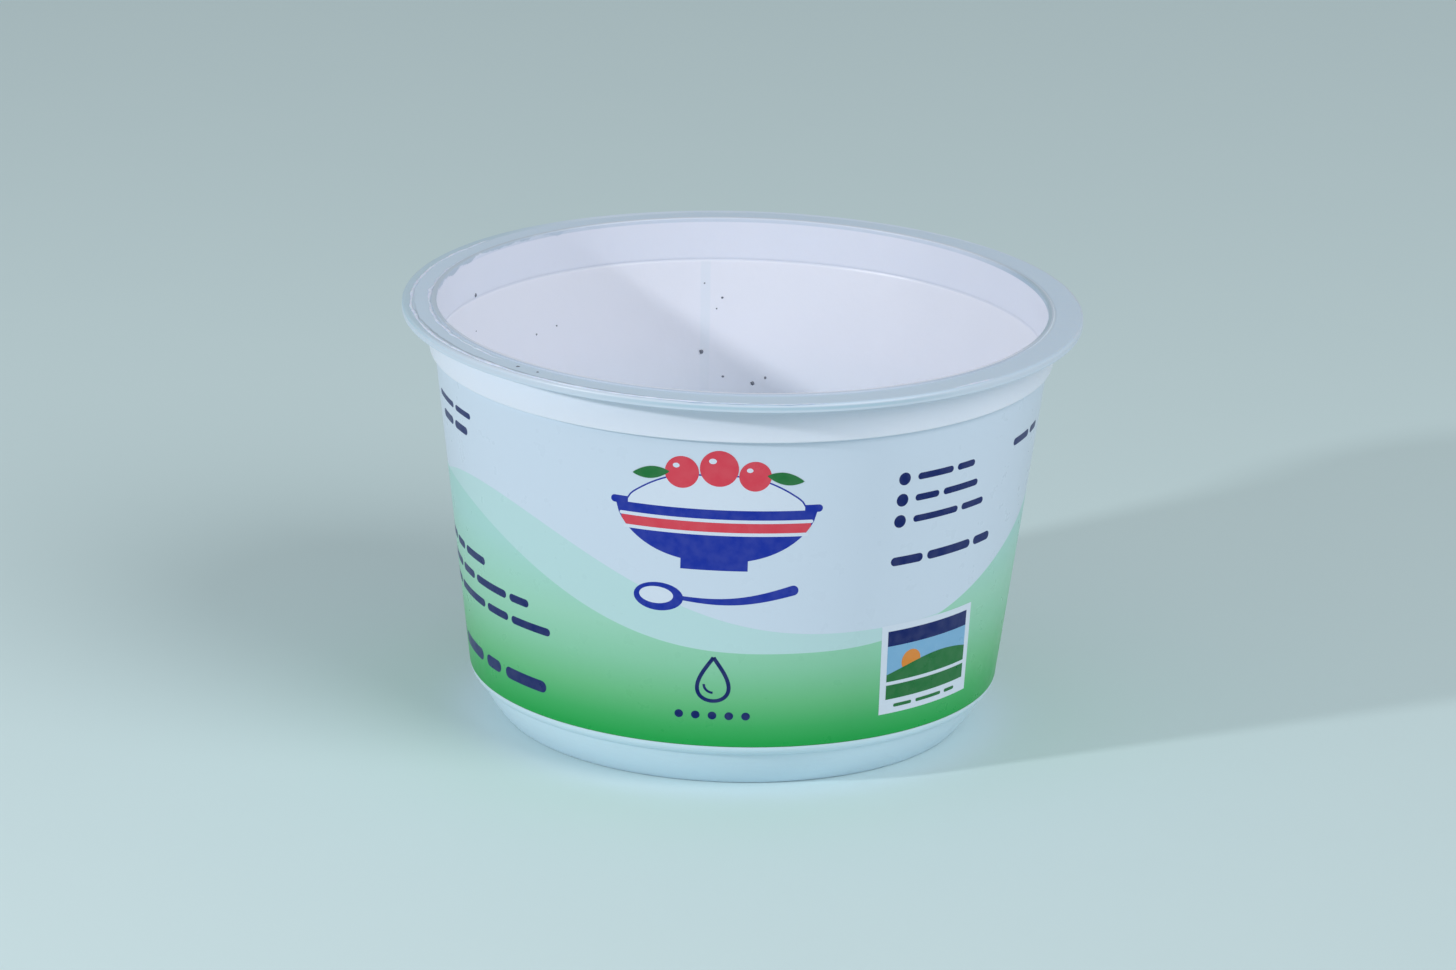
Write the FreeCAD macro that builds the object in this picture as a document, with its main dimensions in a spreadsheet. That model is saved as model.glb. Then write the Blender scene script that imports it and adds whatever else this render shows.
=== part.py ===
"""Single-serve plastic yogurt cup with its moulded-in label, as a parametric FreeCAD document.

Frame: the origin is at the centre of the foot, on the surface the cup stands on. +Z is up and the
front of the label faces -Y. Lengths are in millimetres and angles in degrees.

Nodes
  cup    thin thermoformed shell: flange, stacking collar, tapered wall, foot and raised base
  label  printed film that lies in the wall's seat, its two ends almost meeting at the back
"""
import FreeCAD, Part
import os
import Sketcher
from FreeCAD import Vector

# Driving sizes. Each can be changed by itself, and everything else is worked out from them.
SIZES = [
    ("mouth_radius", 42.70, "inside radius at the top of the collar"),
    ("flange_level", 59.30, "height of the flange's flat top"),
    ("flange_width", 3.75, "how far the flange reaches past the top of the collar"),
    ("flange_thickness", 1.20, "thickness of the flange"),
    ("flange_bevel", 0.32, "bevel of the flange's outer edges"),
    ("bead_width", 0.75, "width of the raised bead round the mouth"),
    ("bead_crown", 0.35, "width of the bead's flat top, between its sloping sides"),
    ("bead_height", 0.20, "height of the bead above the flange"),
    ("collar_thickness", 1.05, "thickness of the collar at its top"),
    ("collar_depth", 6.70, "from the flange's top down to the collar's lower edge"),
    ("collar_lean", 2.0, "lean of the collar's outside"),
    ("collar_bevel", 0.18, "bevel of the collar's lower edge"),
    ("crease_depth", 5.90, "from the flange's top down to the crease inside"),
    ("crease_lean", 4.0, "lean of the collar's inside, above the crease"),
    ("wall_lean", 7.1, "lean of the wall"),
    ("wall_thickness", 0.50, "thickness of the wall behind the label"),
    ("label_thickness", 0.14, "thickness of the label, and depth of its seat"),
    ("label_clearance", 0.05, "gap above and below the label in its seat"),
    ("label_margin", 0.05, "bare strip between the wall's rounded end and the seat"),
    ("label_gap", 0.60, "gap between the label's two ends"),
    ("shoulder_radius", 1.78, "rounding of the wall's lower end"),
    ("shoulder_turn", 58.0, "how far round that end turns before the ledge cuts it off"),
    ("foot_height", 5.54, "height of the ledge"),
    ("foot_inset", 0.40, "width of the ledge"),
    ("foot_curve", 17.0, "radius of the foot's bulging side"),
    ("foot_narrowing", 3.60, "how much narrower the foot is at the bottom"),
    ("foot_bevel", 0.45, "bevel of the foot's standing edge"),
    ("ring_width", 2.20, "width of the ring that the cup stands on"),
    ("panel_rise", 1.50, "height of the flat base panel above the ring"),
    ("panel_slope", 1.20, "width of the slope from the ring up to the panel"),
    ("panel_bevel", 0.30, "bevel of the edges round the panel and inside the ring"),
    ("base_thickness", 0.60, "thickness of the base"),
]

AXIS = "0"      # a corner on the turning axis
FLOOR = "0"     # a corner at the height that the cup stands on

# How a sketch numbers the two ends of a line or arc, its own axes and its origin.
START, END = 1, 2
LEVEL_AXIS, UPRIGHT_AXIS = -1, -2
SKETCH_ORIGIN = (-1, 1)

# Heights, as expressions over the sheet.
TOP = "Sizes.flange_level"
BEAD_TOP = f"({TOP} + Sizes.bead_height)"
FLANGE_LOW = f"({TOP} - Sizes.flange_thickness)"
COLLAR_LOW = f"({TOP} - Sizes.collar_depth)"
CREASE = f"({TOP} - Sizes.crease_depth)"
LEDGE = "Sizes.foot_height"
# The wall's rounded end leaves the wall's straight line, tangent to it, at this height.
SHOULDER = f"({LEDGE} + Sizes.shoulder_radius * (sin(Sizes.shoulder_turn) - sin(Sizes.wall_lean)))"
SEAT_LOW = f"({SHOULDER} + Sizes.label_margin)"
LABEL_LOW = f"({SEAT_LOW} + Sizes.label_clearance)"
LABEL_HIGH = f"({COLLAR_LOW} - Sizes.label_clearance)"
PANEL = "Sizes.panel_rise"

# Radii at the mouth, the collar and the flange.
MOUTH_RADIUS = "Sizes.mouth_radius"
COLLAR_TOP_RADIUS = f"({MOUTH_RADIUS} + Sizes.collar_thickness)"
COLLAR_RADIUS = f"({COLLAR_TOP_RADIUS} - ({FLANGE_LOW} - {COLLAR_LOW}) * tan(Sizes.collar_lean))"
FLANGE_RADIUS = f"({COLLAR_TOP_RADIUS} + Sizes.flange_width)"
CREASE_RADIUS = f"({MOUTH_RADIUS} - Sizes.crease_depth * tan(Sizes.crease_lean))"


def wall_inside(height):
    """Inside radius of the leaning wall at a height."""
    return f"({CREASE_RADIUS} - ({CREASE} - {height}) * tan(Sizes.wall_lean))"


def seat_face(height):
    """Outside radius of the wall behind the label."""
    return f"({wall_inside(height)} + Sizes.wall_thickness)"


def label_face(height):
    """Radius of the printed face, and of the bare wall that is flush with it."""
    return f"({seat_face(height)} + Sizes.label_thickness)"


# Radii of the ledge, the foot and the base.
LEDGE_RADIUS = (f"({label_face(SHOULDER)} + Sizes.shoulder_radius"
                f" * (cos(Sizes.shoulder_turn) - cos(Sizes.wall_lean)))")
FOOT_TOP_RADIUS = f"({LEDGE_RADIUS} - Sizes.foot_inset)"
FOOT_RADIUS = f"({FOOT_TOP_RADIUS} - Sizes.foot_narrowing)"
RING_RADIUS = f"({FOOT_RADIUS} - Sizes.ring_width)"
PANEL_RADIUS = f"({RING_RADIUS} - Sizes.panel_slope)"


def make_sheet(doc):
    """Write the driving sizes into a spreadsheet, one named cell each."""
    sheet = doc.addObject("Spreadsheet::Sheet", "Sizes")
    for row, (name, value, meaning) in enumerate(SIZES, start=1):
        sheet.set(f"A{row}", meaning)
        sheet.set(f"B{row}", str(value))
        sheet.setAlias(f"B{row}", name)
    doc.recompute()
    return sheet


def number(doc, expression):
    """What an expression over the sheet comes to now."""
    return float(doc.Sizes.evalExpression(expression))


def bind(sketch, kind, where, expression):
    """Add one dimension to a sketch and bind it to an expression."""
    value = number(sketch.Document, expression)
    index = sketch.addConstraint(Sketcher.Constraint(kind, *where, value))
    sketch.setExpression(f"Constraints[{index}]", expression)


def place_corner(sketch, corner_end, radius, height):
    """Hold a corner at a radius from the turning axis and at a height."""
    if radius == AXIS:
        sketch.addConstraint(Sketcher.Constraint("PointOnObject", *corner_end, UPRIGHT_AXIS))
    else:
        bind(sketch, "DistanceX", (*SKETCH_ORIGIN, *corner_end), radius)
    if height == FLOOR:
        sketch.addConstraint(Sketcher.Constraint("PointOnObject", *corner_end, LEVEL_AXIS))
    else:
        bind(sketch, "DistanceY", (*SKETCH_ORIGIN, *corner_end), height)


def bowed(start, end, radius):
    """The arc between two points that bulges to the right of the way there."""
    chord = end - start
    sideways = Vector(chord.y, -chord.x, 0).normalize()
    rise = radius - (radius ** 2 - chord.Length ** 2 / 4) ** 0.5
    return Part.Arc(start, (start + end) / 2 + sideways * rise, end)


def outline(body, name, corners):
    """A closed sketch in the body's XZ plane, going anticlockwise round its corners.

    A corner is (radius, height), and a straight line leads to the next one. With a third entry,
    the radius of an arc that bulges out of the outline, that arc does.
    """
    sketch = body.newObject("Sketcher::SketchObject", name)
    plane = next(item for item in body.Origin.OriginFeatures if item.Role == "XZ_Plane")
    sketch.AttachmentSupport = (plane, "")
    sketch.MapMode = "FlatFace"
    doc = body.Document
    spots = [Vector(number(doc, radius), number(doc, height), 0)
             for radius, height, *arc in corners]
    for index, (radius, height, *arc) in enumerate(corners):
        start, end = spots[index], spots[(index + 1) % len(spots)]
        line = bowed(start, end, number(doc, arc[0])) if arc else Part.LineSegment(start, end)
        sketch.addGeometry(line)
    for index in range(len(corners)):
        after = (index + 1) % len(corners)
        sketch.addConstraint(Sketcher.Constraint("Coincident", index, END, after, START))
    for index, (radius, height, *arc) in enumerate(corners):
        place_corner(sketch, (index, START), radius, height)
        if arc:
            bind(sketch, "Radius", (index,), arc[0])
    return sketch


def turn(body, kind, name, corners):
    """Turn an outline once about the axis: a Revolution adds material and a Groove cuts it."""
    feature = body.newObject(f"PartDesign::{kind}", name)
    feature.Profile = outline(body, f"{name}Outline", corners)
    axis = next(item for item in body.Origin.OriginFeatures if item.Role == "Z_Axis")
    feature.ReferenceAxis = (axis, [""])
    feature.Angle = 360.0
    body.Document.recompute()
    return feature


def bevel_edges(body, name, rings, size):
    """Bevel the circular edges that lie at the given (radius, height) rings."""
    doc = body.Document
    base = body.Tip
    wanted = [(number(doc, ring), number(doc, height)) for ring, height in rings]
    found = []
    for index, edge in enumerate(base.Shape.Edges, start=1):
        if edge.Degenerated or not isinstance(edge.Curve, Part.Circle):
            continue
        for ring, height in wanted:
            if abs(edge.Curve.Radius - ring) < 1e-4 and abs(edge.Curve.Center.z - height) < 1e-4:
                found.append(f"Edge{index}")
    if len(found) != len(wanted):
        raise RuntimeError(f"{name}: found {len(found)} of {len(wanted)} edges")
    bevel = body.newObject("PartDesign::Chamfer", name)
    bevel.Base = (base, found)
    bevel.setExpression("Size", size)
    doc.recompute()
    return bevel


def make_body(doc, name):
    body = doc.addObject("PartDesign::Body", name)
    body.Label = name
    return body


def turned(angle):
    """A placement at the origin, turned about Z, that brings a body's seam to the back."""
    return FreeCAD.Placement(Vector(0, 0, 0), FreeCAD.Rotation(Vector(0, 0, 1), angle))


def make_cup(doc):
    """The thermoformed shell, turned as a solid and then hollowed from above and below."""
    body = make_body(doc, "cup")
    turn(body, "Revolution", "OuterForm", [
        (AXIS, FLOOR),
        (FOOT_RADIUS, FLOOR, "Sizes.foot_curve"),
        (FOOT_TOP_RADIUS, LEDGE),
        (LEDGE_RADIUS, LEDGE, "Sizes.shoulder_radius"),
        (label_face(SHOULDER), SHOULDER),
        (label_face(COLLAR_LOW), COLLAR_LOW),
        (COLLAR_RADIUS, COLLAR_LOW),
        (COLLAR_TOP_RADIUS, FLANGE_LOW),
        (FLANGE_RADIUS, FLANGE_LOW),
        (FLANGE_RADIUS, TOP),
        (AXIS, TOP),
    ])
    add_mouth_bead(body)
    cut_cavity(body)
    cut_base_panel(body)
    cut_label_seat(body)
    bevel_edges(body, "FlangeBevels", [(FLANGE_RADIUS, TOP), (FLANGE_RADIUS, FLANGE_LOW)],
                "Sizes.flange_bevel")
    bevel_edges(body, "CollarBevel", [(COLLAR_RADIUS, COLLAR_LOW)], "Sizes.collar_bevel")
    bevel_edges(body, "FootBevel", [(FOOT_RADIUS, FLOOR)], "Sizes.foot_bevel")
    bevel_edges(body, "PanelBevels", [(RING_RADIUS, FLOOR), (PANEL_RADIUS, PANEL)],
                "Sizes.panel_bevel")
    body.Placement = turned(90)
    doc.recompute()
    return body


def add_mouth_bead(body):
    """The low raised bead that the lid's foil was sealed against, round the mouth."""
    root = f"({TOP} - Sizes.flange_thickness / 2)"
    outside = f"({MOUTH_RADIUS} + Sizes.bead_width)"
    slope = "(Sizes.bead_width - Sizes.bead_crown) / 2"
    turn(body, "Revolution", "MouthBead", [
        (MOUTH_RADIUS, root),
        (outside, root),
        (outside, TOP),
        (f"({outside} - {slope})", BEAD_TOP),
        (f"({MOUTH_RADIUS} + {slope})", BEAD_TOP),
        (MOUTH_RADIUS, TOP),
    ])


def cut_cavity(body):
    """The inside: raised floor, a channel round it, foot, leaning wall, crease and collar."""
    floor = "Sizes.base_thickness"
    panel_edge = f"({PANEL_RADIUS} + {floor} / 2)"
    channel_edge = f"({RING_RADIUS} + {floor} / 2)"
    foot_top = f"({FOOT_TOP_RADIUS} - Sizes.wall_thickness)"
    foot_high = f"({LEDGE} + Sizes.wall_thickness / 2)"
    turn(body, "Groove", "Cavity", [
        (AXIS, f"({PANEL} + {floor})"),
        (panel_edge, f"({PANEL} + {floor})"),
        (channel_edge, floor),
        (FOOT_RADIUS, floor),
        (foot_top, foot_high),
        (wall_inside(SHOULDER), SHOULDER),
        (CREASE_RADIUS, CREASE),
        (MOUTH_RADIUS, TOP),
        (MOUTH_RADIUS, BEAD_TOP),
        (AXIS, BEAD_TOP),
    ])


def cut_base_panel(body):
    """The underside: a raised flat panel inside the ring that the cup stands on."""
    turn(body, "Groove", "BasePanel", [
        (AXIS, FLOOR),
        (RING_RADIUS, FLOOR),
        (PANEL_RADIUS, PANEL),
        (AXIS, PANEL),
    ])


def cut_label_seat(body):
    """The shallow seat that brings the label flush with the bare wall under it."""
    turn(body, "Groove", "LabelSeat", [
        (seat_face(SEAT_LOW), SEAT_LOW),
        (f"({label_face(SEAT_LOW)} + Sizes.label_thickness)", SEAT_LOW),
        (f"({label_face(COLLAR_LOW)} + Sizes.label_thickness)", COLLAR_LOW),
        (seat_face(COLLAR_LOW), COLLAR_LOW),
    ])


def make_label(doc):
    """The film: a thin leaning band that stops just short of a full turn, open at the back."""
    body = make_body(doc, "label")
    band = turn(body, "Revolution", "Band", [
        (seat_face(LABEL_LOW), LABEL_LOW),
        (label_face(LABEL_LOW), LABEL_LOW),
        (label_face(LABEL_HIGH), LABEL_HIGH),
        (seat_face(LABEL_HIGH), LABEL_HIGH),
    ])
    band.Midplane = True
    band.setExpression("Angle", f"360 - 180 / pi * Sizes.label_gap / {label_face(LABEL_HIGH)}")
    body.Placement = turned(-90)
    doc.recompute()
    return body


def check(doc, bodies):
    """Stop if anything in the document failed, or a body is not one valid solid."""
    for item in doc.Objects:
        if "Invalid" in item.State or "Error" in item.State:
            raise RuntimeError(f"{item.Name} failed: {item.State}")
    for body in bodies:
        shape = body.Shape
        if shape.isNull() or not shape.isValid() or len(shape.Solids) != 1:
            raise RuntimeError(f"{body.Label} is not one valid solid")


def export(bodies):
    os.makedirs("parts", exist_ok=True)
    for body in bodies:
        body.Shape.exportStep(f"parts/{body.Label}.step")
        box = body.Shape.optimalBoundingBox()
        print(f"{body.Label}: {body.Shape.Volume:.1f} mm3, {len(body.Shape.Faces)} faces, "
              f"{box.XLength:.2f} x {box.YLength:.2f} x {box.ZLength:.2f} mm from z {box.ZMin:.2f}")


def main():
    doc = FreeCAD.newDocument("yogurt_cup")
    make_sheet(doc)
    bodies = [make_cup(doc), make_label(doc)]
    doc.recompute()
    check(doc, bodies)
    export(bodies)


main()
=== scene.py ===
# %% [markdown]
# # An empty yogurt cup in studio light
# The cup is a thin white shell, pressed from warm sheet, with a printed film moulded into its wall.
# Two solids arrive as the frame: the shell, called cup, and the film, called label. Both are shapes
# turned about one axis, so this lesson turns them again with finer steps and small rounded edges,
# then prints the film, and adds what opening and emptying the cup has left on it.

# %% Load the frame
import bmesh
import bpy
import math
from mathutils import Matrix, Vector
from mathutils.noise import noise as wander


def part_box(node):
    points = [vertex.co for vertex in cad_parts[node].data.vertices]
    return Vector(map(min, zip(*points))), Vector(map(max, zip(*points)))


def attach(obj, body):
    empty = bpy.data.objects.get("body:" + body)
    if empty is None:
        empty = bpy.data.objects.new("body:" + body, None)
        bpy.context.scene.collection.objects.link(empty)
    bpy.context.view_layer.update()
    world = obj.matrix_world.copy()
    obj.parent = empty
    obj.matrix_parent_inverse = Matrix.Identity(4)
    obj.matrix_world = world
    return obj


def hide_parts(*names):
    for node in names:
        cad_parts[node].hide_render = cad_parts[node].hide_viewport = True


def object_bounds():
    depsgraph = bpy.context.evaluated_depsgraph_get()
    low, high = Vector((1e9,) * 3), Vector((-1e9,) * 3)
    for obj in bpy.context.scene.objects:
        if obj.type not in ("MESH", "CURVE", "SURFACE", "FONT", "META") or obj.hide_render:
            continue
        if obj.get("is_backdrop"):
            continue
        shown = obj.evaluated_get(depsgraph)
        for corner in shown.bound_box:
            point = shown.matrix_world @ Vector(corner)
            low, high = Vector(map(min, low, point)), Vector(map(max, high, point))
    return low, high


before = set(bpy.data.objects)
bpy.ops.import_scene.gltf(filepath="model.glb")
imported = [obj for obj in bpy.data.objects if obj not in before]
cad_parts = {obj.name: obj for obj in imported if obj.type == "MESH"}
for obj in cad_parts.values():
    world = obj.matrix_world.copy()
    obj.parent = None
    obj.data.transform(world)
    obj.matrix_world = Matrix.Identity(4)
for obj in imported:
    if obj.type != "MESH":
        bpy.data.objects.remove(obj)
bpy.context.view_layer.update()
cad_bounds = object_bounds()
cup_low, cup_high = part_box("cup")
label_low, label_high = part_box("label")
print("CAD box in mm:", [[round(value * 1000, 2) for value in corner] for corner in cad_bounds])

# %% [markdown]
# ## Units and sizes
# Packaging drawings are in millimetres, so every size below is too, and one factor turns a finished
# outline into metres. The overall sizes come from the frame's own boxes. The others are the wall
# thicknesses, leans and roundings that such a cup is drawn with.

# %% Sizes of the shell, in millimetres
MM = 0.001
FLANGE_RADIUS = (cup_high.x - cup_low.x) / 2 / MM
BEAD_TOP = cup_high.z / MM
BEAD_HEIGHT, BEAD_WIDTH, BEAD_SLANT = 0.20, 0.75, 0.10
TOP = BEAD_TOP - BEAD_HEIGHT
FLANGE_WIDTH, FLANGE_THICKNESS = 3.75, 1.20
COLLAR_THICKNESS, COLLAR_DEPTH, COLLAR_LEAN = 1.05, 6.70, 2.0
CREASE_DEPTH, CREASE_LEAN = 5.90, 4.0
GROOVE_TALL, GROOVE_DEEP = 0.30, 0.06
WALL_LEAN, WALL_THICKNESS = 7.1, 0.50
LABEL_THICKNESS = 0.14
FOOT_HEIGHT, FOOT_INSET, FOOT_NARROWING, FOOT_CURVE = 5.54, 0.40, 3.60, 17.0
SHOULDER_RADIUS, SHOULDER_TURN, SEAT_STEP = 1.78, 58.0, 0.05
RING_WIDTH, PANEL_RISE, PANEL_SLOPE, BASE_THICKNESS = 2.20, 1.50, 1.20, 0.60


def slope(degrees):
    """How far a line with this lean moves sideways for each millimetre it climbs."""
    return math.tan(math.radians(degrees))


# %% Places that follow from those sizes
FLANGE_LOW = TOP - FLANGE_THICKNESS
COLLAR_LOW = TOP - COLLAR_DEPTH
CREASE = TOP - CREASE_DEPTH
COLLAR_TOP_RADIUS = FLANGE_RADIUS - FLANGE_WIDTH
MOUTH_RADIUS = COLLAR_TOP_RADIUS - COLLAR_THICKNESS
COLLAR_RADIUS = COLLAR_TOP_RADIUS - (FLANGE_LOW - COLLAR_LOW) * slope(COLLAR_LEAN)
CREASE_RADIUS = MOUTH_RADIUS - CREASE_DEPTH * slope(CREASE_LEAN)
shoulder_climb = math.sin(math.radians(SHOULDER_TURN)) - math.sin(math.radians(WALL_LEAN))
shoulder_reach = math.cos(math.radians(WALL_LEAN)) - math.cos(math.radians(SHOULDER_TURN))
SHOULDER = FOOT_HEIGHT + SHOULDER_RADIUS * shoulder_climb
SEAT_LOW = SHOULDER + SEAT_STEP


def wall_inside(height):
    """Inside radius of the leaning wall."""
    return CREASE_RADIUS - (CREASE - height) * slope(WALL_LEAN)


def label_face(height):
    """Radius of the printed face."""
    return wall_inside(height) + WALL_THICKNESS + LABEL_THICKNESS


LEDGE_RADIUS = label_face(SHOULDER) - SHOULDER_RADIUS * shoulder_reach
FOOT_TOP_RADIUS = LEDGE_RADIUS - FOOT_INSET
FOOT_RADIUS = FOOT_TOP_RADIUS - FOOT_NARROWING
RING_RADIUS = FOOT_RADIUS - RING_WIDTH
PANEL_RADIUS = RING_RADIUS - PANEL_SLOPE
print(f"label face: radius {label_face(COLLAR_LOW):.2f} mm above, {label_face(SEAT_LOW):.2f} below")

# %% [markdown]
# ## Outlines with rounded corners
# A turned piece needs only half of its section. It is listed as corners, each with the radius of
# its rounding, and a helper swaps every corner for a short arc. Long straight stretches then get
# extra points, close together near their ends, so that smooth shading stays flat on the walls and
# turns only in the roundings.


# %% Corner helpers
def arc_between(start, corner, end, radius, steps=6, most=0.48):
    """Points of the arc that rounds one corner, and takes at most this share of each side."""
    to_start, to_end = (start - corner), (end - corner)
    half_angle = to_start.angle(to_end) / 2
    reach = min(radius / math.tan(half_angle), to_start.length * most, to_end.length * most)
    radius = reach * math.tan(half_angle)
    first = corner + to_start.normalized() * reach
    last = corner + to_end.normalized() * reach
    middle = (to_start.normalized() + to_end.normalized()).normalized()
    centre = corner + middle * (radius / math.sin(half_angle))
    points = []
    for step in range(steps + 1):
        share = step / steps
        spoke = ((first - centre) * (1 - share) + (last - centre) * share).normalized()
        points.append(centre + spoke * radius)
    return points


def bulged(start, end, radius, steps=8):
    """Corners along an arc between two points that bulges to the right of the way there."""
    chord = end - start
    side = Vector((chord.y, -chord.x)).normalized()
    depth = math.sqrt(radius ** 2 - chord.length_squared / 4)
    centre = (start + end) / 2 - side * depth
    points = []
    for step in range(1, steps):
        spoke = (start - centre).lerp(end - centre, step / steps).normalized()
        points.append((*(centre + spoke * radius), 0))
    return points


def spread(points, longest=2.4, margin=0.12):
    """Add points along the long straight stretches, with one near each end of them."""
    full = []
    for start, end in zip(points, points[1:]):
        full.append(start)
        length = (end - start).length
        if length > 6 * margin:
            inner = length - 2 * margin
            count = max(1, math.ceil(inner / longest))
            for step in range(count + 1):
                full.append(start.lerp(end, (margin + inner * step / count) / length))
    full.append(points[-1])
    return full


def outline(corners):
    """An open outline from (radius, height, rounding) corners."""
    spots = [Vector(corner[:2]) for corner in corners]
    points = [spots[0]]
    for index in range(1, len(corners) - 1):
        rounding = corners[index][2]
        if rounding:
            points += arc_between(spots[index - 1], spots[index], spots[index + 1], rounding)
        else:
            points.append(spots[index])
    points.append(spots[-1])
    return spread(points)


# %% The half section of the shell, from the middle of its floor round to the middle of its base
floor_level = PANEL_RISE + BASE_THICKNESS
half_floor = BASE_THICKNESS / 2
shell_corners = [
    (0, floor_level, 0),
    (PANEL_RADIUS + half_floor, floor_level, 0.5),
    (RING_RADIUS + half_floor, BASE_THICKNESS, 0.4),
    (FOOT_RADIUS, BASE_THICKNESS, 0.9),
    (FOOT_TOP_RADIUS - WALL_THICKNESS, FOOT_HEIGHT + WALL_THICKNESS / 2, 0.5),
    (wall_inside(SHOULDER), SHOULDER, 0.8),
    (wall_inside(CREASE - GROOVE_TALL), CREASE - GROOVE_TALL, 0.3),
    (CREASE_RADIUS + GROOVE_DEEP, CREASE, 0.25),
    (CREASE_RADIUS + GROOVE_TALL * slope(CREASE_LEAN), CREASE + GROOVE_TALL, 0.3),
    (MOUTH_RADIUS, BEAD_TOP, 0.18),
    (MOUTH_RADIUS + BEAD_WIDTH - BEAD_SLANT, BEAD_TOP, 0.15),
    (MOUTH_RADIUS + BEAD_WIDTH, TOP, 0.12),
    (FLANGE_RADIUS, TOP, 0.40),
    (FLANGE_RADIUS, FLANGE_LOW, 0.14),
    (COLLAR_TOP_RADIUS, FLANGE_LOW, 0.45),
    (COLLAR_RADIUS, COLLAR_LOW, 0.22),
    (label_face(COLLAR_LOW) - LABEL_THICKNESS, COLLAR_LOW, 0.05),
    (label_face(SEAT_LOW) - LABEL_THICKNESS, SEAT_LOW, 0.03),
    (label_face(SEAT_LOW), SEAT_LOW, 0.03),
    (label_face(SHOULDER), SHOULDER, 0),
    *bulged(Vector((LEDGE_RADIUS, FOOT_HEIGHT)), Vector((label_face(SHOULDER), SHOULDER)),
            SHOULDER_RADIUS)[::-1],
    (LEDGE_RADIUS, FOOT_HEIGHT, 0.06),
    (FOOT_TOP_RADIUS, FOOT_HEIGHT, 0.12),
    *bulged(Vector((FOOT_RADIUS, 0)), Vector((FOOT_TOP_RADIUS, FOOT_HEIGHT)), FOOT_CURVE)[::-1],
    (FOOT_RADIUS, 0, 0.6),
    (RING_RADIUS, 0, 0.45),
    (PANEL_RADIUS, PANEL_RISE, 0.45),
    (0, PANEL_RISE, 0),
]
shell_outline = outline(shell_corners)
print(f"shell outline: {len(shell_corners)} corners, {len(shell_outline)} points")

# %% [markdown]
# ## Turning an outline with Geometry Nodes
# A Screw modifier would turn an outline too. Here a small node tree does it, because the same tree
# then makes the shell, which goes all the way round, and the film, which stops short of a full
# turn. A grid has one row for each point of the outline and one column for each step round the
# axis. Each grid point looks up its outline point and is turned about Z by its column's angle.


# %% Node helpers
SAME_SPOT = 1e-6


def tree_inputs(tree, **kinds):
    """Add named input sockets to a geometry node tree, with a geometry in and out."""
    tree.interface.new_socket("Geometry", in_out="INPUT", socket_type="NodeSocketGeometry")
    for label, kind in kinds.items():
        tree.interface.new_socket(label, in_out="INPUT", socket_type=f"NodeSocket{kind}")
    tree.interface.new_socket("Geometry", in_out="OUTPUT", socket_type="NodeSocketGeometry")
    return tree.nodes.new("NodeGroupInput"), tree.nodes.new("NodeGroupOutput")


def add_node(tree, kind, links=None, **settings):
    """Add a node, set its properties, and link or fill its inputs by name or number."""
    made = tree.nodes.new(kind)
    for name, value in settings.items():
        setattr(made, name, value)
    for socket, source in (links or {}).items():
        if isinstance(source, bpy.types.NodeSocket):
            tree.links.new(source, made.inputs[socket])
        else:
            made.inputs[socket].default_value = source
    return made


def math_node(tree, operation, first, second=0.0):
    """The output of one Math node."""
    return add_node(tree, "ShaderNodeMath", {0: first, 1: second}, operation=operation).outputs[0]


def vector_node(tree, operation, first, second=(0, 0, 0), output="Vector"):
    """One output of a Vector Math node."""
    made = add_node(tree, "ShaderNodeVectorMath", {0: first, 1: second}, operation=operation)
    return made.outputs[output]


def finish_tree(tree, geometry, finish, result):
    """Close seams, smooth, realize and paint what a tree has made, and send it out."""
    steps = (("GeometryNodeMergeByDistance", {"Distance": SAME_SPOT}),
             ("GeometryNodeSetShadeSmooth", {}),
             ("GeometryNodeRealizeInstances", {}),
             ("GeometryNodeSetMaterial", {"Material": finish}))
    for kind, inputs in steps:
        geometry = add_node(tree, kind, {"Geometry": geometry, **inputs}).outputs["Geometry"]
    tree.links.new(geometry, result.inputs["Geometry"])


def run_tree(name, tree, source, **values):
    """Run a geometry tree on a mesh and keep the result as a plain mesh object of that name."""
    holder = bpy.data.objects.new(f"{name}_source", source)
    bpy.context.scene.collection.objects.link(holder)
    modifier = holder.modifiers.new("shape", "NODES")
    modifier.node_group = tree
    for item in tree.interface.items_tree:
        if item.in_out == "INPUT" and item.name in values:
            modifier[item.identifier] = values[item.name]
    bpy.context.view_layer.update()
    graph = bpy.context.evaluated_depsgraph_get()
    result = bpy.data.meshes.new_from_object(holder.evaluated_get(graph), depsgraph=graph)
    bpy.data.objects.remove(holder)
    made = bpy.data.objects.new(name, result)
    bpy.context.scene.collection.objects.link(made)
    result.name = name
    print(f"{name}: {len(result.vertices)} vertices, {len(result.polygons)} faces")
    return made


# %% The tree that turns an outline
turn_tree = bpy.data.node_groups.new("Turn outline", "GeometryNodeTree")
given, result = tree_inputs(turn_tree, Steps="Int", Start="Float", End="Float", Finish="Material")
ask = given.outputs
size = add_node(turn_tree, "GeometryNodeAttributeDomainSize", {"Geometry": ask["Geometry"]})
columns = math_node(turn_tree, "ADD", ask["Steps"], 1.0)
grid = add_node(turn_tree, "GeometryNodeMeshGrid",
                {"Vertices X": size.outputs["Point Count"], "Vertices Y": columns})
index = add_node(turn_tree, "GeometryNodeInputIndex").outputs[0]
row = math_node(turn_tree, "FLOOR", math_node(turn_tree, "DIVIDE", index, columns))
column = math_node(turn_tree, "MODULO", index, columns)
spot = add_node(turn_tree, "GeometryNodeSampleIndex", {"Geometry": ask["Geometry"], "Index": row},
                data_type="FLOAT_VECTOR")
place = add_node(turn_tree, "GeometryNodeInputPosition").outputs[0]
turn_tree.links.new(place, spot.inputs["Value"])
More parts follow.
